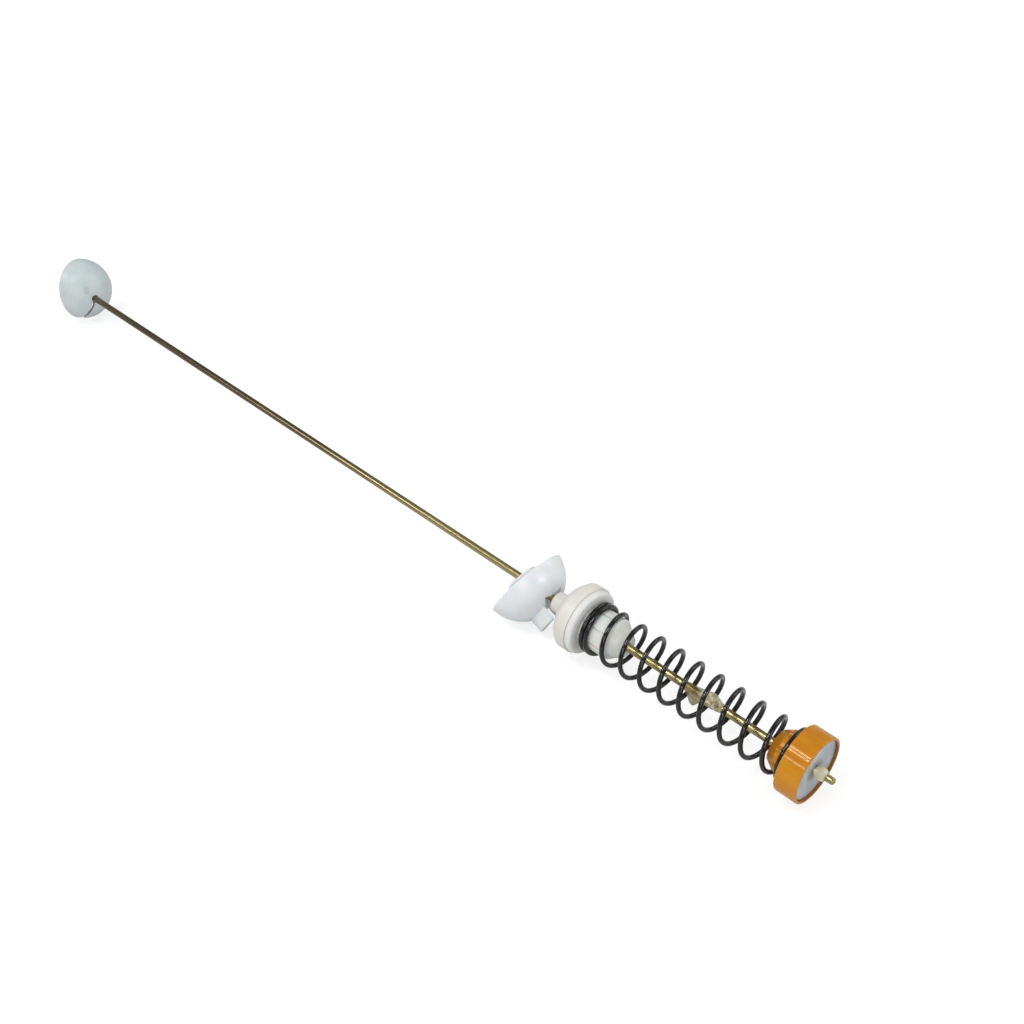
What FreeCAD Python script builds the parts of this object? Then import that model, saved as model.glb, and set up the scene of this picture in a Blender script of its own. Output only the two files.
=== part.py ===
import FreeCAD, Part
import math
import os
from FreeCAD import Placement, Rotation, Vector

# A suspension rod that carries the tub of a top-loading washing machine, lying on a flat surface.
# X runs along the rod towards its spring end, Z is up, and the origin is on the surface under the
# middle of the rod. Lengths are in millimetres and angles in degrees.
# A station is a place along the rod, measured from its tip towards its hook.

# Rod: wire with a hook at one end, pinched ears and a thin tip at the other
overall_length = 700.0
rod_diameter = 4.5
hook_bend_radius = 5.5
hook_return_length = 9.0
hook_turn = 115.0
tip_diameter = 3.8
tip_length = 4.6
ear_width = 7.2
ear_thickness = 2.8
ear_turn = 50.0

# Hanger ball: half a nylon ball with a narrow skirt, which hangs in the corner of the cabinet
ball_radius = 22.8
ball_drop = 2.25
ball_offset = 1.6
ball_lean = 22.0
ball_lean_way = 128.0
ball_skirt_height = 0.3
ball_wall = 2.4
ball_bridge_width = 10.0
ball_window_depth = 7.0
ball_mouth_width = 2.2
ball_notch_width = 7.0
ball_notch_depth = 4.5

# Tub cup: a loose bowl with a hub and two legs parted by a slot, which leans on the rod
cup_radius = 24.6
cup_sphere_radius = 24.9
cup_depth = 17.6
cup_wall = 1.8
cup_lean = 28.0
cup_station = 210.3
cup_hub_radius = 10.2
cup_hub_thickness = 3.2
cup_hub_proud = 3.4
cup_hub_round = 2.0
cup_leg_radius = 11.5
cup_leg_length = 9.2
cup_leg_round = 1.0
cup_slot_width = 13.2
cup_slot_reach = 15.0
cup_bore_clearance = 0.3

# Coil spring: closed end coils, open coils between them
spring_mean_radius = 14.0
spring_wire_diameter = 2.7
spring_wire_sides = 8
spring_turns = 12.1
spring_start_angle = 180.0
spring_first_turns = 0.64
spring_first_rise = 0.9
spring_last_turns = 1.93
spring_last_rise = 5.45
spring_bend_turns = 0.2
spring_guide_clearance = 0.4

# Lower spring seat: fluted guide, deep flange, recess for the washer
lower_flange_radius = 19.0
lower_flange_length = 12.9
lower_rim_station = 9.7
lower_rim_wall = 1.6
lower_guide_length = 5.8
lower_cone_length = 5.2
lower_nose_radius = 9.0
lower_core_wall = 2.2
lower_flute_count = 8
lower_flute_radius = 2.4
lower_flute_depth = 0.9

# End washer
washer_thickness = 1.6
washer_recess = 1.5
washer_side_gap = 0.25

# Upper spring seat: guide for the first coils, cone, band and spigot
upper_face_station = 157.0
upper_band_radius = 19.3
upper_band_length = 3.8
upper_band_round = 2.0
upper_guide_length = 17.0
upper_cone_length = 8.5
upper_nose_radius = 6.2
upper_slit_count = 8
upper_slit_width = 0.8
upper_slit_depth = 0.8
spigot_length = 5.0
spigot_step = 1.9

# Damper cover: dome and skirt over the spigot
cover_radius = 20.2
cover_skirt_length = 6.6
cover_dome_height = 8.8
cover_neck_radius = 6.0
cover_neck_length = 7.5
cover_wall = 2.0
cover_edge_radius = 2.5
cover_fit = 0.15

# Friction ring: felt that rubs on the rod
ring_radius = 8.8
ring_length = 12.0
ring_running_clearance = 0.05
ring_side_gap = 0.1
ring_end_gap = 0.2

# Grease on the rod
grease_station = 67.5
grease_length = 26.0
grease_radius = 5.3

# Clearances shared by several pieces
bore_clearance = 0.35
seat_gap = 0.1
edge_round = 0.6

# Sizes that follow from the ones above
rod_radius = rod_diameter / 2
tip_x = overall_length / 2
lean_sine = math.sin(math.radians(cup_lean))
lean_cosine = math.cos(math.radians(cup_lean))
cup_centre_offset = math.sqrt(cup_sphere_radius ** 2 - cup_radius ** 2)
cup_inner_radius = math.sqrt((cup_sphere_radius - cup_wall) ** 2 - cup_centre_offset ** 2)
cup_rim_round = (cup_radius - cup_inner_radius) / 2
cup_reach = cup_sphere_radius + (cup_hub_proud - cup_centre_offset) * lean_sine
hook_side = Vector(0, math.sin(math.radians(hook_turn)), math.cos(math.radians(hook_turn)))
axis_height = max(ball_radius - ball_offset * hook_side.z, cup_reach)
guide_radius = spring_mean_radius - spring_wire_diameter / 2 - spring_guide_clearance
bore_radius = rod_radius + bore_clearance
bend_station = overall_length - hook_bend_radius - rod_radius
ball_station = bend_station - ball_drop
washer_face_station = lower_rim_station + washer_recess
recess_floor_station = washer_face_station + washer_thickness + seat_gap
recess_radius = lower_flange_radius - lower_rim_wall
lower_face_station = lower_rim_station + lower_flange_length
lower_nose_station = lower_face_station + lower_guide_length + lower_cone_length
upper_nose_station = upper_face_station - upper_guide_length - upper_cone_length
cover_start_station = upper_face_station + upper_band_length
spigot_radius = upper_band_radius - spigot_step
spigot_end_station = cover_start_station + spigot_length
ring_start_station = spigot_end_station - ring_length
cover_shoulder_station = cover_start_station + cover_skirt_length
cover_top_station = cover_shoulder_station + cover_dome_height
along_rod = Vector(-1, 0, 0)


def on_axis(station, radius=0.0):
    """Point above the rod's axis at a station."""
    return Vector(tip_x - station, 0, axis_height + radius)


def turned(profile):
    """Solid of revolution about the rod's axis from a closed outline of (station, radius) corners."""
    corners = [on_axis(station, radius) for station, radius in profile]
    outline = Part.makePolygon(corners + corners[:1])
    return Part.Face(outline).revolve(on_axis(0), Vector(1, 0, 0), 360)


def bored(start, end, radius):
    """Cylinder round the rod's axis between two stations."""
    return Part.makeCylinder(radius, end - start, on_axis(start), along_rod)


def around_axis(tool, count, first_angle=0.0):
    """Copies of a tool, evenly spaced round the rod's axis."""
    copies = []
    for index in range(count):
        copy = tool.copy()
        copy.rotate(on_axis(0), along_rod, first_angle + 360.0 * index / count)
        copies.append(copy)
    return copies


def rounded(solid, radius, wanted):
    """Round the edges that the test picks."""
    return solid.makeFillet(radius, [edge for edge in solid.Edges if wanted(edge)])


def is_circle_at(station, radius):
    """Test for the circular edge of a given radius at a station."""
    def test(edge):
        curve = edge.Curve
        if not isinstance(curve, Part.Circle):
            return False
        near_station = abs(curve.Center.x - on_axis(station).x) < 1e-4
        return near_station and abs(curve.Radius - radius) < 1e-4
    return test


def suspension_rod():
    ear_end = washer_face_station - seat_gap
    crown = on_axis(bend_station + hook_bend_radius) + hook_side * hook_bend_radius
    return_top = on_axis(bend_station) + hook_side * (2 * hook_bend_radius)
    return_end = on_axis(bend_station - hook_return_length) + hook_side * (2 * hook_bend_radius)
    path = Part.Wire([
        Part.makeLine(on_axis(ear_end), on_axis(bend_station)),
        Part.Arc(on_axis(bend_station), crown, return_top).toShape(),
        Part.makeLine(return_top, return_end),
    ])
    section = Part.Wire([Part.makeCircle(rod_radius, on_axis(ear_end), along_rod)])
    shank = path.makePipeShell([section], True, True)
    tip = bored(0, tip_length, tip_diameter / 2)
    tip = rounded(tip, tip_diameter / 3, is_circle_at(0, tip_diameter / 2))
    return shank.fuse([tip, pinched_ears(tip_length, ear_end)]).removeSplitter()


def pinched_ears(start, end):
    """The flattened stretch of the rod, which bulges sideways and holds the washer."""
    middle = (start + end) / 2
    half_end = rod_radius
    half_middle = ear_width / 2
    side = Vector(0, math.cos(math.radians(ear_turn)), math.sin(math.radians(ear_turn)))
    normal = along_rod.cross(side)
    corners = [on_axis(start) + side * half_end, on_axis(end) + side * half_end]
    corners += [on_axis(end) - side * half_end, on_axis(start) - side * half_end]
    outline = Part.Wire([
        Part.Arc(corners[0], on_axis(middle) + side * half_middle, corners[1]).toShape(),
        Part.makeLine(corners[1], corners[2]),
        Part.Arc(corners[2], on_axis(middle) - side * half_middle, corners[3]).toShape(),
        Part.makeLine(corners[3], corners[0]),
    ])
    outline.translate(normal * (-ear_thickness / 2))
    return Part.Face(outline).extrude(normal * ear_thickness)


def hanger_ball():
    """Built about its centre with its rim at the top and its slot towards +Y, then laid on the rod.

    The shell leans on the hook as far as the slot lets it.
    """
    rod_x = -ball_offset
    return_x = 2 * hook_bend_radius - ball_offset
    bridge_top = ball_drop - seat_gap
    outer = leant(ball_form(ball_radius, ball_skirt_height))
    inner = leant(ball_form(ball_radius - ball_wall, 2 * ball_skirt_height))
    bridge = Part.makeBox(2 * ball_radius, ball_bridge_width, ball_radius + bridge_top)
    bridge.translate(Vector(-ball_radius, -ball_bridge_width / 2, -ball_radius))
    saddle_radius = hook_bend_radius - bore_radius
    saddle = Part.makeCylinder(saddle_radius, ball_bridge_width, Vector(0, 0, 0), Vector(0, 1, 0))
    saddle.translate(Vector(rod_x + hook_bend_radius, -ball_bridge_width / 2, bridge_top))
    ball = outer.cut(inner).fuse([bridge.common(outer), saddle])
    return_depth = bridge_top - hook_return_length
    window_floor = ball_skirt_height - ball_window_depth
    window = Part.makeBox(return_x - rod_x + 2 * bore_radius, ball_radius, 2 * ball_window_depth)
    window.translate(Vector(rod_x - bore_radius, ball_bridge_width / 2, window_floor))
    cuts = [ball_slot(rod_x, -2 * ball_radius), ball_slot(return_x, return_depth), window, leant(ball_notch(rod_x))]
    ball = ball.cut(cuts).removeSplitter()
    to_rod = Rotation(Vector(1, 0, 0), -hook_turn) * Rotation(Vector(0, 1, 0), -90)
    ball.Placement = Placement(on_axis(ball_station) + hook_side * ball_offset, to_rod)
    return ball


def ball_form(radius, height):
    """Half a ball with a plain skirt above it."""
    dome = Part.makeSphere(radius, Vector(0, 0, 0), Vector(0, 0, 1), -90, 0, 360)
    return dome.fuse(Part.makeCylinder(radius, height)).removeSplitter()


def leant(form):
    """Turn a form about the ball's centre as the ball leans on the hook."""
    way = math.radians(ball_lean_way)
    form.rotate(Vector(0, 0, 0), Vector(-math.sin(way), math.cos(way), 0), ball_lean)
    return form


def ball_slot(middle_x, low):
    """Round seat for one leg of the hook, with a narrow mouth that the leg snaps in through."""
    height = 4 * ball_radius
    seat = Part.makeCylinder(bore_radius, height, Vector(middle_x, 0, low))
    mouth = Part.makeBox(ball_mouth_width, 2 * ball_radius, height)
    mouth.translate(Vector(middle_x - ball_mouth_width / 2, 0, low))
    return seat.fuse(mouth)


def ball_notch(middle_x):
    """Notch in the rim where the mouth of the slot meets it."""
    notch = Part.makeBox(ball_notch_width, ball_radius, 2 * ball_notch_depth)
    floor_height = ball_skirt_height - ball_notch_depth
    notch.translate(Vector(middle_x - ball_notch_width / 2, ball_radius / 2, floor_height))
    return notch


def tub_cup():
    """Built about its own axis with its rim at height 0 and its legs at the top, then leant on the rod."""
    hub_low = -cup_hub_proud - cup_hub_thickness / 2
    hub = Part.makeCylinder(cup_hub_radius, cup_hub_thickness, Vector(0, 0, hub_low))
    hub = rounded(hub, cup_hub_round, lambda edge: edge.BoundBox.ZMax < hub_low + cup_hub_round)
    slot = cup_slot(hub_low + cup_hub_thickness)
    cup = cup_bowl().fuse(cup_pillar()).cut(slot).fuse(hub).removeSplitter()
    bore = (rod_radius + cup_hub_thickness / 2 * lean_sine) / lean_cosine + cup_bore_clearance
    bore_low = Vector(0, 0, hub_low - cup_hub_thickness / 2)
    cup = cup.cut(Part.makeCylinder(bore, 2 * cup_hub_thickness, bore_low))
    cup.Placement = Placement(
        on_axis(cup_station) + Vector(lean_cosine, 0, -lean_sine) * cup_hub_proud,
        Rotation(Vector(0, 1, 0), 90 + cup_lean),
    )
    return cup


def cup_bowl():
    """Part of a hollow sphere with a rounded rim and a flat bottom."""
    def wall_arc(sphere_radius, low, high):
        points = []
        for height in (low, (low + high) / 2, high):
            radius = math.sqrt(sphere_radius ** 2 - (height + cup_centre_offset) ** 2)
            points.append(Vector(radius, 0, height))
        return Part.Arc(*points).toShape()

    floor_height = cup_depth - cup_wall
    outer = wall_arc(cup_sphere_radius, 0, cup_depth)
    inner = wall_arc(cup_sphere_radius - cup_wall, 0, floor_height)
    rim_middle = Vector(cup_radius - cup_rim_round, 0, -cup_rim_round)
    rim = Part.Arc(Vector(cup_inner_radius, 0, 0), rim_middle, Vector(cup_radius, 0, 0)).toShape()
    outer_end = outer.Vertexes[-1].Point
    inner_end = inner.Vertexes[-1].Point
    bottom = Part.makePolygon([outer_end, Vector(0, 0, cup_depth), Vector(0, 0, floor_height), inner_end])
    outline = Part.Wire(Part.sortEdges([rim, outer, inner] + bottom.Edges)[0])
    return Part.Face(outline).revolve(Vector(0, 0, 0), Vector(0, 0, 1), 360)


def cup_pillar():
    """The pillar that carries the hub and runs on through the floor, before the slot parts it into legs."""
    top = cup_depth + cup_leg_length
    pillar = Part.makeCylinder(cup_leg_radius, cup_hub_proud + top, Vector(0, 0, -cup_hub_proud))
    return rounded(pillar, cup_leg_round, lambda edge: edge.BoundBox.ZMin > top - cup_leg_round)


def cup_slot(low):
    """The slot between the legs, which lets the rod swing."""
    height = cup_depth + 2 * cup_leg_length - low
    slot = Part.makeBox(2 * cup_slot_reach, cup_slot_width, height)
    slot.translate(Vector(-cup_slot_reach, -cup_slot_width / 2, low))
    return slot


def damper_cover():
    outer = domed(cover_radius, cover_start_station, cover_shoulder_station, cover_top_station)
    outer = rounded(outer, cover_edge_radius, is_circle_at(cover_shoulder_station, cover_radius))
    room_top = cover_top_station - cover_wall
    inner = domed(spigot_radius + cover_fit, cover_start_station, cover_shoulder_station, room_top)
    neck_start = spigot_end_station + ring_end_gap
    neck_end = cover_top_station + cover_neck_length
    neck = bored(neck_start, neck_end, cover_neck_radius)
    neck = rounded(neck, edge_round, is_circle_at(neck_end, cover_neck_radius))
    hole = bored(cover_start_station, neck_end, bore_radius)
    return outer.cut(inner).fuse(neck).cut(hole).removeSplitter()


def domed(radius, start, shoulder, top):
    """Plain cylinder that ends in part of a sphere, with a flat round the neck on top."""
    flat = cover_neck_radius + edge_round
    centre = (top ** 2 + flat ** 2 - shoulder ** 2 - radius ** 2) / (2 * (top - shoulder))
    sphere_radius = math.hypot(shoulder - centre, radius)
    middle_radius = (radius + flat) / 2
    middle = centre + math.sqrt(sphere_radius ** 2 - middle_radius ** 2)
    edges = [
        Part.makeLine(on_axis(start), on_axis(start, radius)),
        Part.makeLine(on_axis(start, radius), on_axis(shoulder, radius)),
        Part.Arc(on_axis(shoulder, radius), on_axis(middle, middle_radius), on_axis(top, flat)).toShape(),
        Part.makeLine(on_axis(top, flat), on_axis(top)),
        Part.makeLine(on_axis(top), on_axis(start)),
    ]
    return Part.Face(Part.Wire(edges)).revolve(on_axis(0), Vector(1, 0, 0), 360)


def upper_spring_seat():
    seat = turned([
        (upper_nose_station, bore_radius),
        (upper_nose_station, upper_nose_radius),
        (upper_face_station - upper_guide_length, guide_radius),
        (upper_face_station, guide_radius),
        (upper_face_station, upper_band_radius),
        (cover_start_station - seat_gap, upper_band_radius),
        (cover_start_station - seat_gap, spigot_radius),
        (spigot_end_station, spigot_radius),
        (spigot_end_station, ring_radius + ring_side_gap),
        (ring_start_station, ring_radius + ring_side_gap),
        (ring_start_station, bore_radius),
    ])
    seat = rounded(seat, upper_band_round, is_circle_at(upper_face_station, upper_band_radius))
    slit = Part.makeBox(upper_guide_length, upper_slit_width, 2 * upper_slit_depth)
    slit_corner = on_axis(upper_face_station, guide_radius - upper_slit_depth)
    slit.translate(slit_corner - Vector(0, upper_slit_width / 2, 0))
    return seat.cut(around_axis(slit, upper_slit_count))


def friction_ring():
    running_radius = rod_radius + ring_running_clearance
    start = ring_start_station + seat_gap
    return bored(start, spigot_end_station, ring_radius).cut(bored(start, spigot_end_station, running_radius))


def coil_spring():
    """Wire swept along a winding line that is steep in the open coils and flat at both ends."""
    start = lower_face_station + seat_gap + spring_wire_diameter / 2
    length = upper_face_station - lower_face_station - 2 * seat_gap - spring_wire_diameter
    first_slope = spring_first_rise / spring_first_turns
    last_slope = spring_last_rise / spring_last_turns
    first_bend = (spring_first_turns, spring_first_rise)
    last_bend = (spring_turns - spring_last_turns, length - spring_last_rise)
    open_slope = (last_bend[1] - first_bend[1]) / (last_bend[0] - first_bend[0])
    reach = 2 * spring_bend_turns
    poles = [
        (0, 0),
        (first_bend[0] - reach, first_bend[1] - reach * first_slope),
        first_bend,
        (first_bend[0] + reach, first_bend[1] + reach * open_slope),
        (last_bend[0] - reach, last_bend[1] - reach * open_slope),
        last_bend,
        (last_bend[0] + reach, last_bend[1] + reach * last_slope),
        (spring_turns, length),
    ]
    winding = Part.Geom2d.BSplineCurve2d()
    poles = [FreeCAD.Base.Vector2d(2 * math.pi * turns, rise) for turns, rise in poles]
    winding.buildFromPoles(poles, False, 2)
    drum = Part.Cylinder()
    drum.Radius = spring_mean_radius
    drum.Axis = along_rod
    drum.Center = on_axis(start)
    path = Part.Wire([winding.toShape(drum)])
    first = path.Edges[0]
    wire_start = first.valueAt(first.FirstParameter)
    tangent = first.tangentAt(first.FirstParameter)
    outward = (wire_start - on_axis(start)).normalize()
    corners = []
    for index in range(spring_wire_sides + 1):
        turn = Rotation(tangent, 360.0 * index / spring_wire_sides)
        corners.append(wire_start + turn.multVec(outward) * (spring_wire_diameter / 2))
    section = Part.makePolygon(corners)
    spring = path.makePipeShell([section], True, True)
    spring.rotate(on_axis(0), along_rod, spring_start_angle)
    return spring


def lower_spring_seat():
    seat = turned([
        (lower_rim_station, recess_radius),
        (lower_rim_station, lower_flange_radius),
        (lower_face_station, lower_flange_radius),
        (lower_face_station, guide_radius),
        (lower_face_station + lower_guide_length, guide_radius),
        (lower_nose_station, lower_nose_radius),
        (lower_nose_station, bore_radius),
        (recess_floor_station, bore_radius),
        (recess_floor_station, recess_radius),
    ])
    for station in (lower_rim_station, lower_face_station):
        seat = rounded(seat, edge_round, is_circle_at(station, lower_flange_radius))
    flute_centre = guide_radius + lower_flute_radius - lower_flute_depth
    flute_length = lower_nose_station - lower_face_station
    flute_start = on_axis(lower_face_station, flute_centre)
    flute = Part.makeCylinder(lower_flute_radius, flute_length, flute_start, along_rod)
    return seat.cut(around_axis(flute, lower_flute_count)).cut(lower_seat_core())


def lower_seat_core():
    """Hollow behind the washer, which keeps the moulding's walls even."""
    boss_radius = bore_radius + lower_core_wall
    guide_end = lower_face_station + lower_guide_length
    core_radius = guide_radius - lower_flute_depth - lower_core_wall
    return turned([
        (recess_floor_station, boss_radius),
        (recess_floor_station, core_radius),
        (guide_end, core_radius),
        (guide_end, boss_radius),
    ])


def end_washer():
    start = washer_face_station
    end = start + washer_thickness
    return bored(start, end, recess_radius - washer_side_gap).cut(bored(start, end, bore_radius))


def grease():
    """A lump with a fat middle and two thin tails along the rod."""
    inner = rod_radius + ring_running_clearance
    thin = inner + ring_running_clearance * 4
    end = grease_station + grease_length
    middle = grease_station + grease_length / 2
    edges = [
        Part.Arc(on_axis(grease_station, thin), on_axis(middle, grease_radius), on_axis(end, thin)).toShape(),
        Part.makeLine(on_axis(end, thin), on_axis(end, inner)),
        Part.makeLine(on_axis(end, inner), on_axis(grease_station, inner)),
        Part.makeLine(on_axis(grease_station, inner), on_axis(grease_station, thin)),
    ]
    return Part.Face(Part.Wire(edges)).revolve(on_axis(0), Vector(1, 0, 0), 360)


pieces = [
    suspension_rod,
    hanger_ball,
    tub_cup,
    damper_cover,
    upper_spring_seat,
    friction_ring,
    coil_spring,
    lower_spring_seat,
    end_washer,
    grease,
]

os.makedirs("parts", exist_ok=True)
for piece in pieces:
    piece().exportStep(f"parts/{piece.__name__}.step")
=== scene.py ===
import math
import bmesh
import bpy
from mathutils import Matrix, Vector, noise


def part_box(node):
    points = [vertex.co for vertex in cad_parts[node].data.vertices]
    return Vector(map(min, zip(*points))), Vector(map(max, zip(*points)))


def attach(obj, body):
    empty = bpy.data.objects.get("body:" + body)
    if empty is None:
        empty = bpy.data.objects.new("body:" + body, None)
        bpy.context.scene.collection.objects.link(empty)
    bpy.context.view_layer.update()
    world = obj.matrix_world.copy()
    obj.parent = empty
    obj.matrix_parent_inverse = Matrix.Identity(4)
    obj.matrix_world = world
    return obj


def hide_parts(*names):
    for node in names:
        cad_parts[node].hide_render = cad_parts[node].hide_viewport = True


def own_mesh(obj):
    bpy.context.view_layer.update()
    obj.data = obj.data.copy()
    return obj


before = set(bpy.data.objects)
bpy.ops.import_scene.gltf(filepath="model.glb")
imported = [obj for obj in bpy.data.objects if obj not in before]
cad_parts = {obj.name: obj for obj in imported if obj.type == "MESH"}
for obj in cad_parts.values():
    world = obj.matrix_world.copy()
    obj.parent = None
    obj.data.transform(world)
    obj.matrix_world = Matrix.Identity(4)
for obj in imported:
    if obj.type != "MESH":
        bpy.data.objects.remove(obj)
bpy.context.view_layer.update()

# Lengths are in metres and angles in degrees. X runs along the rod towards its spring end.
MM = 0.001

# The photograph's camera
camera_place = (0.52239, -0.39773, 0.52041)
camera_azimuth = 44.564
camera_elevation = 38.975
camera_lens = 45.45
camera_sensor = 36.0

# Places read from the solids
washer_low, washer_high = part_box("end_washer")
lower_seat_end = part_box("lower_spring_seat")[1].x
upper_seat_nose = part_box("upper_spring_seat")[1].x
spring_low, spring_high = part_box("coil_spring")
rod_low, rod_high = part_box("suspension_rod")
grease_low, grease_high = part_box("grease")
axis_height = (washer_low.z + washer_high.z) / 2
tip_x = rod_high.x

# Rod
rod_radius = 2.25 * MM
hook_bend_radius = 5.5 * MM
hook_return_length = 9.0 * MM
hook_end_chamfer = 0.4 * MM
hook_turn = 115.0
ear_turn = 50.0
rod_ring_points = 32
hook_steps = 28

# Pinched end of the rod: station from the tip, half width and half thickness, in millimetres
pinched_end = [
    (0.0, 0.9, 0.9),
    (0.25, 1.45, 1.45),
    (0.8, 1.82, 1.82),
    (1.3, 1.9, 1.9),
    (3.9, 1.9, 1.9),
    (4.3, 1.95, 1.88),
    (4.8, 2.5, 1.75),
    (5.6, 3.2, 1.5),
    (6.6, 3.55, 1.4),
    (8.0, 3.6, 1.4),
    (9.2, 3.4, 1.45),
    (10.2, 2.9, 1.7),
    (11.0, 2.4, 2.1),
    (11.6, 2.25, 2.25),
]

# Spring
spring_mean_radius = 14.0 * MM
spring_wire_radius = 1.35 * MM
spring_turns = 12.1
spring_first_turns = 0.64
spring_first_rise = 0.9 * MM
spring_last_turns = 1.93
spring_last_rise = 5.45 * MM
spring_bend_turns = 0.2
spring_start_angle = -90.0
spring_steps_per_turn = 72
spring_slope_step = 0.001
spring_ring_points = 16

# Ball: its gate mark's middle, two directions on the surface and half its size, and the ball's middle
gate_mark_place = (-0.3196, -0.0043, 0.0324)
gate_mark_right = (0.306, 0.919, -0.247)
gate_mark_down = (0.214, -0.344, -0.914)
gate_mark_half_width = 1.8 * MM
gate_mark_half_height = 2.6 * MM
ball_middle = (-0.34, 0.00145, 0.02401)

# Grease: a film that grows and gets lumpier towards its near end, with a drip and a fold. Their places and
# spreads are shares of its length, and their angles are measured round the rod.
grease_rings = 72
grease_ring_points = 48
grease_clearance = 0.05 * MM
grease_thinnest = 0.05 * MM
grease_film = 0.5 * MM
grease_film_growth = 0.9 * MM
grease_lumps = 0.4 * MM
grease_lumps_growth = 0.5 * MM
grease_ripple = 0.3 * MM
grease_drip = {"place": 0.3, "spread": 0.15, "height": 7.0 * MM, "angle": -95.0, "narrowness": 10}
grease_fold = {"place": 0.72, "spread": 0.16, "height": 2.6 * MM, "angle": 80.0, "narrowness": 6}

# Turning marks on the washer, in radians a metre
washer_ring_density = 9000.0

# Edges between finishes and of painted shade: where a look starts and where it is full
# Painted shade along the rod: where the gold starts to turn to a darker brown towards the hook, and where it
# is full
shade_to_gold = (-0.1, 0.08)
ear_from_tip = (tip_x - 4.4 * MM, tip_x - 5.4 * MM)
ear_from_wire = (tip_x - 12.0 * MM, tip_x - 10.0 * MM)
# Painted shade on the inside of the hollow ball, by distance from its middle
ball_inside_shade = (22.5 * MM, 21.8 * MM)
greasy_nose = (upper_seat_nose - 9.0 * MM, upper_seat_nose - 1.0 * MM)
behind_flange = (spring_high.x + 0.5 * MM, spring_high.x - 0.5 * MM)
# Painted shade in the lower seat's flutes behind the flange and inside its rim
flute_shade_radius = (12.1 * MM, 11.5 * MM)
flange_front = (lower_seat_end - 2.4 * MM, lower_seat_end - 1.8 * MM)
rim_shade_radius = (17.9 * MM, 17.5 * MM)
washer_dark_ring = (11.5 * MM, 6.5 * MM)
grease_lump_start = (grease_low.x + 9.0 * MM, grease_low.x + 15.0 * MM)
grease_hanging_radius = (3.2 * MM, 5.0 * MM)
grease_upper_height = (axis_height + 0.5 * MM, axis_height + 3.0 * MM)

# Floor and sky: how light they are to the camera, in reflections and for all other light
floor_size = 4.0
floor_camera_level = 0.4
floor_mirror_level = 0.6
floor_plain_level = 0.75
sky_camera_level = 1.0
sky_mirror_level = 0.3
sky_plain_level = 0.52

# Glow that brings the floor up to white for the camera, near the part and far off, where less light falls
floor_glow_near = 0.68
floor_glow_far = 0.8
floor_near = 0.6
floor_far = 2.2

# Lamps: name, place, width, length and power in watts
lamp_aim = (0.1, 0, 0.02)
lamps = [
    ("key_high", (-0.03, -0.54, 1.52), 0.06, 0.6, 3.5),
    ("key_low", (-0.03, -0.76, 1.41), 0.06, 0.6, 3.5),
    ("left", (-0.93, -0.78, 1.02), 0.3, 0.5, 4.0),
    ("front", (-0.03, -1.30, 0.98), 0.08, 0.6, 2.0),
    ("back", (0.7, 1.4, 1.2), 1.2, 1.2, 6.0),
    ("window", (1.95, 0.35, 0.75), 0.7, 0.5, 5.5),
    ("fill", (1.1, -1.0, 0.7), 0.6, 0.6, 3.2),
]

# Meshes
same_place = 1e-7
sharp_angle = 40.0


def linear(red, green, blue):
    """Shader colour from the 0 to 255 values of a picture."""
    values = []
    for value in (red, green, blue):
        share = value / 255
        values.append(share / 12.92 if share <= 0.04045 else ((share + 0.055) / 1.055) ** 2.4)
    return (*values, 1.0)


def grey(level):
    return (level, level, level, 1.0)


class Number:
    """A shader socket that plain arithmetic works on."""

    def __init__(self, nodes, socket):
        self.nodes = nodes
        self.socket = socket

    def maths(self, operation, first, second=0.0):
        return self.nodes.node("ShaderNodeMath", {"operation": operation}, {0: first, 1: second})

    def __add__(self, other):
        return self.maths("ADD", self, other)

    def __radd__(self, other):
        return self.maths("ADD", other, self)

    def __sub__(self, other):
        return self.maths("SUBTRACT", self, other)

    def __rsub__(self, other):
        return self.maths("SUBTRACT", other, self)

    def __mul__(self, other):
        return self.maths("MULTIPLY", self, other)

    def __rmul__(self, other):
        return self.maths("MULTIPLY", other, self)

    def __truediv__(self, other):
        return self.maths("DIVIDE", self, other)

    def __rtruediv__(self, other):
        return self.maths("DIVIDE", other, self)

    def __pow__(self, other):
        return self.maths("POWER", self, other)

    def __rpow__(self, other):
        return self.maths("POWER", other, self)

    def sine(self):
        return self.maths("SINE", self)

    def between(self, low, high):
        """0 below low, 1 above high, smooth between them. High may be the smaller one."""
        settings = {"interpolation_type": "SMOOTHSTEP"}
        return self.nodes.node("ShaderNodeMapRange", settings, {0: self, 1: low, 2: high, 3: 0.0, 4: 1.0})


class Nodes:
    """A node tree whose nodes are all made by one method."""

    def __init__(self, tree):
        self.tree = tree

    def node(self, kind, settings, inputs, output=0):
        """Add a node, set it up, feed its sockets and return one of its outputs."""
        made = self.tree.nodes.new(kind)
        for name, value in settings.items():
            setattr(made, name, value)
        for name, value in inputs.items():
            self.feed(made.inputs[name], value)
        return Number(self, made.outputs[output])

    def feed(self, socket, value):
        """Link a socket to an output, or set it to a plain value."""
        if isinstance(value, Number):
            self.tree.links.new(value.socket, socket)
        else:
            socket.default_value = value

    def object_place(self):
        return self.node("ShaderNodeTexCoord", {}, {}, "Object")

    def vectors(self, operation, first, second=(0, 0, 0), output="Value"):
        """Vector maths on two places or directions."""
        return self.node("ShaderNodeVectorMath", {"operation": operation}, {0: first, 1: second}, output)


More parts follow.
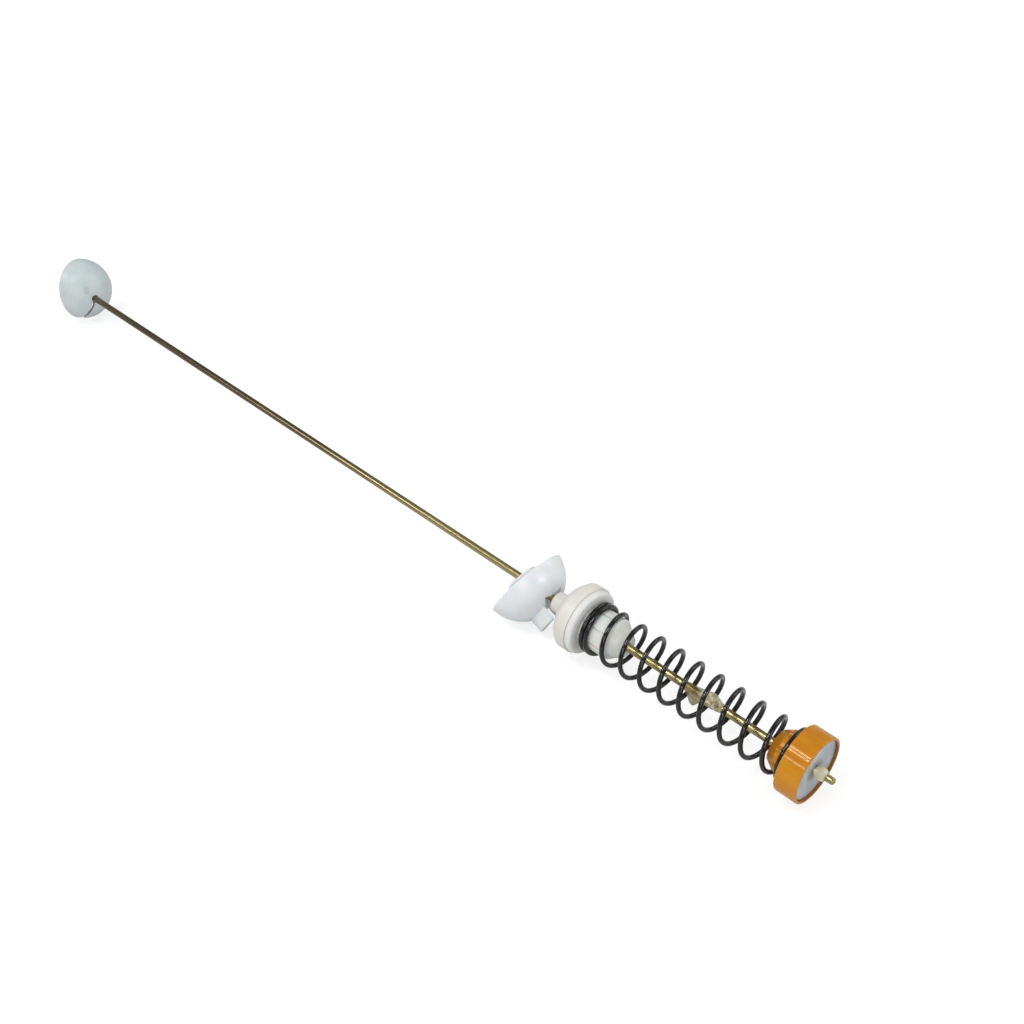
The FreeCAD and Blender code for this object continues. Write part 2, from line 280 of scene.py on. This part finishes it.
class Shader(Nodes):
    """A procedural material on the piece's own coordinates."""

    def __init__(self, name, **constants):
        self.material = bpy.data.materials.new(name)
        self.material.use_nodes = True
        super().__init__(self.material.node_tree)
        self.surface = self.tree.nodes["Principled BSDF"]
        self.set(**constants)
        self.place = self.object_place()

    def set(self, **inputs):
        """Feed the surface's sockets, with _ for a blank in their names."""
        for name, value in inputs.items():
            self.feed(self.surface.inputs[name.replace("_", " ")], value)

    def axis(self, letter):
        return self.node("ShaderNodeSeparateXYZ", {}, {0: self.place}, letter)

    def around_axis(self):
        """Distance from the rod's axis."""
        across = self.axis("Y")
        up = self.axis("Z") - axis_height
        return (across * across + up * up) ** 0.5

    def moved(self, scale, turn=(0, 0, 0)):
        return self.node("ShaderNodeMapping", {}, {"Vector": self.place, "Rotation": turn, "Scale": scale})

    def noise(self, scale, detail=3.0, roughness=0.5, place=None):
        inputs = {"Vector": place or self.place, "Scale": scale, "Detail": detail, "Roughness": roughness}
        return self.node("ShaderNodeTexNoise", {}, inputs)

    def mix(self, share, first, second):
        return self.node("ShaderNodeMix", {"data_type": "RGBA"}, {0: share, 6: first, 7: second}, 2)

    def bump(self, height, strength, distance):
        inputs = {"Height": height, "Strength": strength, "Distance": distance}
        return self.node("ShaderNodeBump", {}, inputs)


def passivated_steel():
    """Yellow-passivated wire with painted shade: its gold turns dull brown towards the hook, where less lamp
    light falls, and it is pale where it is pinched.
    """
    shader = Shader("passivated_steel")
    along = shader.axis("X")
    drawn = shader.noise(1.0, 4.0, 0.6, shader.moved(scale=(18, 900, 900)))
    cloud = shader.noise(26.0)
    gold = shader.mix(cloud.between(0.35, 0.7), linear(172, 161, 115), linear(184, 170, 122))
    # Painted shade: brown stands for the wire's gold where less lamp light falls
    shaded_brown = shader.mix(cloud.between(0.3, 0.7), linear(106, 98, 77), linear(124, 112, 87))
    colour = shader.mix(along.between(*shade_to_gold), shaded_brown, gold)
    colour = shader.mix(drawn.between(0.5, 0.85) * 0.35, colour, linear(92, 80, 46))
    pinched = along.between(*ear_from_wire) * along.between(*ear_from_tip)
    colour = shader.mix(pinched * 0.9, colour, linear(238, 232, 203))
    shader.set(Base_Color=colour, Metallic=1.0 - pinched * 0.75)
    shader.set(Roughness=0.22 + drawn * 0.14 + pinched * 0.16)
    shader.set(Normal=shader.bump(drawn, 0.05, 0.03 * MM))
    return shader.material


def gate_mark(shader):
    """1 in the mark that the mould's gate left beside the rod, 0 outside it."""
    away = shader.vectors("SUBTRACT", shader.place, gate_mark_place, "Vector")
    mark = 1.0
    for direction, half in ((gate_mark_right, gate_mark_half_width), (gate_mark_down, gate_mark_half_height)):
        reach = shader.vectors("DOT_PRODUCT", away, direction)
        square = reach * reach / (half * half)
        mark = square.between(1.5, 0.6) * mark
    return mark


def ball_nylon():
    """Bluish milky nylon with faint flow marks and a shallow gate mark, with painted shade inside the ball.
    """
    shader = Shader("ball_nylon", IOR=1.5, Subsurface_Weight=0.2, Subsurface_Scale=2.0 * MM)
    flow = shader.noise(70.0, 3.0, 0.55)
    fine = shader.noise(900.0, 2.0)
    mark = gate_mark(shader)
    shade_inside = shader.vectors("DISTANCE", shader.place, ball_middle).between(*ball_inside_shade)
    colour = shader.mix(flow.between(0.3, 0.75), linear(198, 207, 208), linear(186, 196, 197))
    colour = shader.mix(mark * 0.4, colour, linear(160, 170, 170))
    # Painted shade inside the hollow ball
    colour = shader.mix(shade_inside * 0.8, colour, linear(122, 126, 126))
    shader.set(Base_Color=colour, Roughness=0.3 + flow * 0.08 + fine * 0.04)
    shader.set(Normal=shader.bump(flow * 0.2 + fine * 0.03 - mark, 0.3, 0.3 * MM))
    return shader.material


def cup_nylon():
    """Bright glossy nylon, a little cloudy, with the finest scratches of use."""
    shader = Shader("cup_nylon", IOR=1.5, Subsurface_Weight=0.3, Subsurface_Scale=2.5 * MM)
    flow = shader.noise(60.0, 3.0, 0.55)
    scuff = shader.noise(1.0, 3.0, 0.6, shader.moved(scale=(900, 300, 300)))
    colour = shader.mix(flow.between(0.3, 0.75), linear(229, 232, 235), linear(219, 223, 226))
    shader.set(Base_Color=colour, Roughness=0.17 + flow * 0.08 + scuff.between(0.6, 0.9) * 0.12)
    shader.set(Normal=shader.bump(flow + scuff * 0.1, 0.07, 0.2 * MM))
    return shader.material


def ivory_plastic():
    """Satin acetal of the cover, a little clouded, with a fine grain."""
    shader = Shader("ivory_plastic", IOR=1.48, Subsurface_Weight=0.2, Subsurface_Scale=1.5 * MM)
    flow = shader.noise(55.0)
    grain = shader.noise(1500.0, 2.0)
    colour = shader.mix(flow.between(0.3, 0.7), linear(221, 220, 214), linear(211, 210, 203))
    shader.set(Base_Color=colour, Roughness=0.34 + grain * 0.12)
    shader.set(Normal=shader.bump(grain, 0.1, 0.05 * MM))
    return shader.material


def seat_plastic():
    """Paler acetal of the upper seat, smudged with grease towards its nose."""
    shader = Shader("seat_plastic", IOR=1.48, Subsurface_Weight=0.25, Subsurface_Scale=1.5 * MM)
    flow = shader.noise(60.0)
    smear = shader.noise(240.0, 4.0, 0.6)
    nose = shader.axis("X").between(*greasy_nose)
    colour = shader.mix(flow.between(0.3, 0.7), linear(225, 226, 223), linear(215, 216, 212))
    colour = shader.mix(nose * (0.1 + smear.between(0.4, 0.75) * 0.4), colour, linear(192, 187, 168))
    shader.set(Base_Color=colour, Roughness=0.36 - nose * 0.14 + flow * 0.08)
    shader.set(Normal=shader.bump(flow + smear * nose, 0.1, 0.1 * MM))
    return shader.material


def black_spring_steel():
    """Black-coated wire with a fine grain and thin spots in the coating."""
    shader = Shader("black_spring_steel", IOR=1.36, Coat_Weight=0.6, Coat_Roughness=0.06)
    mottle = shader.noise(420.0, 4.0, 0.6)
    grain = shader.noise(2600.0, 2.0)
    colour = shader.mix(mottle.between(0.55, 0.85), linear(20, 19, 19), linear(40, 37, 35))
    shader.set(Base_Color=colour, Roughness=0.08 + mottle * 0.12)
    shader.set(Normal=shader.bump(grain + mottle * 0.6, 0.05, 0.02 * MM))
    return shader.material


def orange_plastic():
    """Glossy amber moulding: faint flow lines along the rod, with painted shade in the flutes and inside the
    rim.
    """
    shader = Shader(
        "orange_plastic",
        IOR=1.42,
        Specular_Tint=(1.0, 0.86, 0.62, 1.0),
        Subsurface_Weight=0.12,
        Subsurface_Radius=(1.0, 0.5, 0.15),
        Subsurface_Scale=1.5 * MM,
    )
    along = shader.axis("X")
    radius = shader.around_axis()
    flow = shader.noise(1.0, 3.0, 0.5, shader.moved(scale=(40, 160, 160)))
    behind = along.between(*behind_flange)
    flute_shade = behind * radius.between(*flute_shade_radius)
    shade_inside = along.between(*flange_front) * radius.between(*rim_shade_radius)
    colour = shader.mix(flow.between(0.3, 0.75), linear(201, 135, 32), linear(188, 118, 22))
    # Painted shade in the flutes and inside the rim
    colour = shader.mix(flute_shade * 0.25, colour, linear(112, 62, 10))
    colour = shader.mix(shade_inside * 0.7, colour, linear(118, 78, 40))
    shader.set(Base_Color=colour, Roughness=0.09 + flow * 0.07 + behind * 0.08)
    shader.set(Normal=shader.bump(flow, 0.06, 0.2 * MM))
    return shader.material


def zinc_steel():
    """Bluish zinc plating: cloudy, with turning marks, darker round the rod."""
    shader = Shader("zinc_steel", Metallic=0.45)
    radius = shader.around_axis()
    rings = (radius * washer_ring_density).sine()
    cloud = shader.noise(120.0)
    dark_ring = (radius + cloud * (6.0 * MM)).between(*washer_dark_ring)
    colour = shader.mix(cloud.between(0.3, 0.7), linear(202, 207, 210), linear(176, 184, 191))
    colour = shader.mix(dark_ring * 0.7, colour, linear(112, 112, 104))
    shader.set(Base_Color=colour, Roughness=0.36 + cloud * 0.16)
    shader.set(Normal=shader.bump(rings * 0.2 + cloud, 0.1, 0.05 * MM))
    return shader.material


def felt():
    """Greased felt of the friction ring, which the seat and the cover hide."""
    shader = Shader("felt", Sheen_Weight=0.3)
    fibre = shader.noise(1800.0, 5.0, 0.7)
    colour = shader.mix(fibre, linear(70, 64, 54), linear(112, 104, 90))
    shader.set(Base_Color=colour, Roughness=0.8 + fibre * 0.1)
    shader.set(Normal=shader.bump(fibre, 0.6, 0.3 * MM))
    return shader.material


def wet_grease():
    """Translucent grease: an olive film that the rod shows through, then a flecked beige lump."""
    shader = Shader("wet_grease", IOR=1.4)
    lumpy = shader.axis("X").between(*grease_lump_start)
    hanging = shader.around_axis().between(*grease_hanging_radius)
    upper = shader.axis("Z").between(*grease_upper_height)
    streak = shader.noise(1.0, 4.0, 0.6, shader.moved(turn=(0, 0.3, 0), scale=(160, 420, 420)))
    fleck = shader.noise(520.0, 2.0)
    film = shader.mix(streak.between(0.35, 0.7), linear(184, 172, 122), linear(128, 108, 54))
    film = shader.mix(upper * 0.8, film, linear(112, 92, 42))
    film = shader.mix(hanging * (1.0 - upper) * 0.8, film, linear(176, 168, 144))
    beige = shader.mix(streak.between(0.35, 0.7), linear(206, 198, 164), linear(152, 132, 86))
    colour = shader.mix(lumpy, film, beige)
    colour = shader.mix(fleck.between(0.58, 0.68) * lumpy * 0.9, colour, linear(244, 240, 226))
    colour = shader.mix(fleck.between(0.44, 0.34) * lumpy * 0.8, colour, linear(100, 74, 36))
    shader.set(Base_Color=colour, Roughness=0.16 + streak * 0.2)
    shader.set(Alpha=0.4 + streak * 0.15 + (lumpy + hanging - lumpy * hanging) * 0.36)
    shader.set(Normal=shader.bump(streak + fleck * 0.3, 0.35, 0.4 * MM))
    return shader.material


def piece(name, build, material):
    """New object at the origin, shaped by a function that fills a bmesh."""
    mesh = bpy.data.meshes.new(name)
    work = bmesh.new()
    build(work)
    bmesh.ops.remove_doubles(work, verts=work.verts, dist=same_place)
    bmesh.ops.recalc_face_normals(work, faces=work.faces)
    for face in work.faces:
        face.smooth = True
    for edge in work.edges:
        if len(edge.link_faces) == 2 and edge.calc_face_angle(0.0) > math.radians(sharp_angle):
            edge.smooth = False
    work.to_mesh(mesh)
    work.free()
    mesh.materials.append(material)
    made = bpy.data.objects.new(name, mesh)
    bpy.context.scene.collection.objects.link(made)
    return made


def on_axis(station):
    """Point on the rod's axis, measured from its tip."""
    return Vector((tip_x - station, 0, axis_height))


def ring_place(centre, wide, thin, half_wide, half_thin):
    """Matrix that lays a circle of radius 1 out as an oval ring in the plane of two directions."""
    turned = Matrix((wide * half_wide, thin * half_thin, wide.cross(thin))).transposed()
    return Matrix.Translation(centre) @ turned.to_4x4()


def sweep(work, places, points):
    """Skin over a row of rings, closed by a face at both ends."""
    rings = []
    for place in places:
        made = bmesh.ops.create_circle(work, segments=points, radius=1.0, matrix=place)
        rings.append(list({edge for vertex in made["verts"] for edge in vertex.link_edges}))
    for ring, following in zip(rings, rings[1:]):
        bmesh.ops.bridge_loops(work, edges=ring + following)
    for ring in (rings[0], rings[-1]):
        bmesh.ops.edgeloop_fill(work, edges=ring)


def build_rod(work):
    """Tip, pinched ears, straight wire and hook, as one skin."""
    turn = math.radians(ear_turn)
    wide = Vector((0, math.cos(turn), math.sin(turn)))
    thin = Vector((-1, 0, 0)).cross(wide)
    places = []
    for station, half_wide, half_thin in pinched_end:
        places.append(ring_place(on_axis(station * MM), wide, thin, half_wide * MM, half_thin * MM))
    sweep(work, places + hook_places(wide), rod_ring_points)


def hook_places(wide):
    """Rings round the hook's bend and at the end of its short leg."""
    turn = math.radians(hook_turn)
    side = Vector((0, math.sin(turn), math.cos(turn)))
    back = Vector((-1, 0, 0))
    middle = Vector((rod_low.x + hook_bend_radius + rod_radius, 0, axis_height)) + side * hook_bend_radius
    places = []
    for step in range(hook_steps + 1):
        angle = math.pi * step / hook_steps
        away = back * math.sin(angle) - side * math.cos(angle)
        ahead = back * math.cos(angle) + side * math.sin(angle)
        places.append(wire_place(middle + away * hook_bend_radius, ahead, wide))
    end = middle + side * hook_bend_radius - back * hook_return_length
    places.append(wire_place(end + back * hook_end_chamfer, -back, wide))
    places.append(wire_place(end, -back, wide, rod_radius - hook_end_chamfer))
    return places


def wire_place(centre, ahead, wide, radius=rod_radius):
    """Round ring across the wire, with its first point kept to one side so that the skin doesn't twist."""
    first = (wide - ahead * wide.dot(ahead)).normalized()
    return ring_place(centre, first, ahead.cross(first), radius, radius)


def bend(turns):
    """Slope 0 before the bend and slope 1 after it, with a smooth passage between."""
    if turns < -spring_bend_turns:
        return 0.0
    if turns > spring_bend_turns:
        return turns
    return (turns + spring_bend_turns) ** 2 / (4 * spring_bend_turns)


def coil_rise(turns):
    """Height of the spring's wire line: flat at both ends, steep between them."""
    length = spring_high.x - spring_low.x - 2 * spring_wire_radius
    open_turns = spring_turns - spring_first_turns - spring_last_turns
    first_slope = spring_first_rise / spring_first_turns
    open_slope = (length - spring_first_rise - spring_last_rise) / open_turns
    last_slope = spring_last_rise / spring_last_turns
    rise = first_slope * turns
    rise += (open_slope - first_slope) * bend(turns - spring_first_turns)
    rise += (last_slope - open_slope) * bend(turns - spring_turns + spring_last_turns)
    return rise


def coil_side(turns):
    """Direction from the rod's axis to the spring's wire line."""
    angle = math.radians(spring_start_angle) - 2 * math.pi * turns
    return Vector((0, math.cos(angle), math.sin(angle)))


def coil_point(turns):
    """Point on the spring's wire line, which starts at the lower seat."""
    x = spring_high.x - spring_wire_radius - coil_rise(turns)
    return Vector((x, 0, axis_height)) + coil_side(turns) * spring_mean_radius


def build_spring(work):
    """Round wire along the wire line."""
    places = []
    steps = round(spring_turns * spring_steps_per_turn)
    for step in range(steps + 1):
        turns = spring_turns * step / steps
        across = coil_side(turns)
        ahead = (coil_point(turns + spring_slope_step) - coil_point(turns - spring_slope_step)).normalized()
        up = ahead.cross(across)
        places.append(ring_place(coil_point(turns), across, up, spring_wire_radius, spring_wire_radius))
    sweep(work, places, spring_ring_points)


def bulge(share, direction, place, spread, height, angle, narrowness):
    """Height of a bulge that falls off along the lump and round it."""
    turn = math.radians(angle)
    towards = max(0.0, direction.y * math.cos(turn) + direction.z * math.sin(turn))
    return height * math.exp(-((share - place) / spread) ** 2) * towards ** narrowness


def grease_thickness(share, x, direction):
    """Thickness of the grease at a share of its length and in a direction round the rod."""
    swell = max(0.0, math.sin(math.pi * share)) ** 0.8
    lumps = noise.noise(Vector((x * 160, direction.y * 1.3, direction.z * 1.3)))
    ripple = noise.noise(Vector((x * 520, direction.y * 3.0, direction.z * 3.0)))
    film = grease_film + grease_film_growth * share + grease_ripple * ripple
    film += (grease_lumps + grease_lumps_growth * share) * lumps
    return swell * film + bulge(share, direction, **grease_drip) + bulge(share, direction, **grease_fold)


def build_grease(work):
    """Tube round the rod, pushed out to a lump with a drip below it and a fold above it."""
    inner = rod_radius + grease_clearance
    length = grease_high.x - grease_low.x
    across = Vector((0, 1, 0))
    up = Vector((0, 0, 1))
    places = []
    for step in range(grease_rings + 1):
        x = grease_low.x + length * step / grease_rings
        places.append(ring_place(Vector((x, 0, axis_height)), across, up, inner, inner))
    sweep(work, places, grease_ring_points)
    for vertex in work.verts:
        x = vertex.co.x
        centre = Vector((x, 0, axis_height))
        direction = (vertex.co - centre).normalized()
        thickness = grease_thickness((x - grease_low.x) / length, x, direction)
        vertex.co = centre + direction * (inner + max(thickness, grease_thinnest))


def dress(node, material):
    """Give a CAD solid its material."""
    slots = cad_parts[node].data.materials
    slots.clear()
    slots.append(material)


dress("hanger_ball", ball_nylon())
dress("tub_cup", cup_nylon())
dress("damper_cover", ivory_plastic())
dress("upper_spring_seat", seat_plastic())
dress("friction_ring", felt())
dress("lower_spring_seat", orange_plastic())
dress("end_washer", zinc_steel())

rod = piece("rod_wire", build_rod, passivated_steel())
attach(rod, "hanger_rod")
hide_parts("suspension_rod")

spring = piece("spring_coils", build_spring, black_spring_steel())
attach(spring, "hanger_rod")
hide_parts("coil_spring")
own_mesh(spring)

lump = piece("grease_lump", build_grease, wet_grease())
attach(lump, "hanger_rod")
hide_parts("grease")
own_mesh(lump)


def build_floor(work):
    bmesh.ops.create_grid(work, x_segments=1, y_segments=1, size=floor_size)


def by_ray(nodes, plain, bright, dull):
    """One shader for the camera and through glass, one in reflections and one for all other light."""
    camera = nodes.node("ShaderNodeLightPath", {}, {}, "Is Camera Ray")
    glass = nodes.node("ShaderNodeLightPath", {}, {}, "Is Transmission Ray")
    mirror = nodes.node("ShaderNodeLightPath", {}, {}, "Is Glossy Ray")
    unseen = nodes.node("ShaderNodeMixShader", {}, {0: mirror, 1: plain, 2: dull})
    return nodes.node("ShaderNodeMixShader", {}, {0: camera + glass, 1: unseen, 2: bright})


def matte(nodes, level):
    return nodes.node("ShaderNodeBsdfDiffuse", {}, {"Color": grey(level)})


def sky(nodes, level):
    return nodes.node("ShaderNodeBackground", {}, {"Color": grey(level)})


def floor_material():
    """White floor that keeps a soft shadow and is a little greyer in reflections."""
    material = bpy.data.materials.new("floor")
    material.use_nodes = True
    nodes = Nodes(material.node_tree)
    distance = nodes.vectors("LENGTH", nodes.object_place())
    limits = {1: floor_near, 2: floor_far, 3: floor_glow_near, 4: floor_glow_far}
    level = nodes.node("ShaderNodeMapRange", {}, {0: distance, **limits})
    glow = nodes.node("ShaderNodeEmission", {}, {"Color": level})
    bright = nodes.node("ShaderNodeAddShader", {}, {0: matte(nodes, floor_camera_level), 1: glow})
    shown = by_ray(nodes, matte(nodes, floor_plain_level), bright, matte(nodes, floor_mirror_level))
    nodes.feed(nodes.tree.nodes["Material Output"].inputs["Surface"], shown)
    return material


def set_world():
    """Even studio light that looks white to the camera and leaves dark edges on bright metal."""
    world = bpy.data.worlds.new("studio")
    bpy.context.scene.world = world
    world.use_nodes = True
    nodes = Nodes(world.node_tree)
    bright = sky(nodes, sky_camera_level)
    shown = by_ray(nodes, sky(nodes, sky_plain_level), bright, sky(nodes, sky_mirror_level))
    nodes.feed(nodes.tree.nodes["World Output"].inputs["Surface"], shown)


def lamp(name, place, width, length, power):
    """Soft pane of light that faces a point on the rod, with its length along the rod."""
    light = bpy.data.lights.new(name, "AREA")
    light.shape = "RECTANGLE"
    light.size = length
    light.size_y = width
    light.energy = power
    holder = bpy.data.objects.new(name, light)
    away = (Vector(place) - Vector(lamp_aim)).normalized()
    along = (Vector((1, 0, 0)) - away * away.x).normalized()
    holder.matrix_world = Matrix((along, away.cross(along), away)).transposed().to_4x4()
    holder.location = place
    holder.visible_camera = False
    bpy.context.scene.collection.objects.link(holder)


def set_camera():
    camera = bpy.data.cameras.new("photo_camera")
    camera.lens = camera_lens
    camera.sensor_width = camera_sensor
    holder = bpy.data.objects.new("photo_camera", camera)
    holder.location = camera_place
    holder.rotation_euler = (math.radians(90 - camera_elevation), 0, math.radians(camera_azimuth))
    bpy.context.scene.collection.objects.link(holder)
    bpy.context.scene.camera = holder


floor = piece("floor", build_floor, floor_material())
set_world()
for name, place, width, length, power in lamps:
    lamp(name, place, width, length, power)
set_camera()
bpy.context.scene.view_settings.view_transform = "Standard"
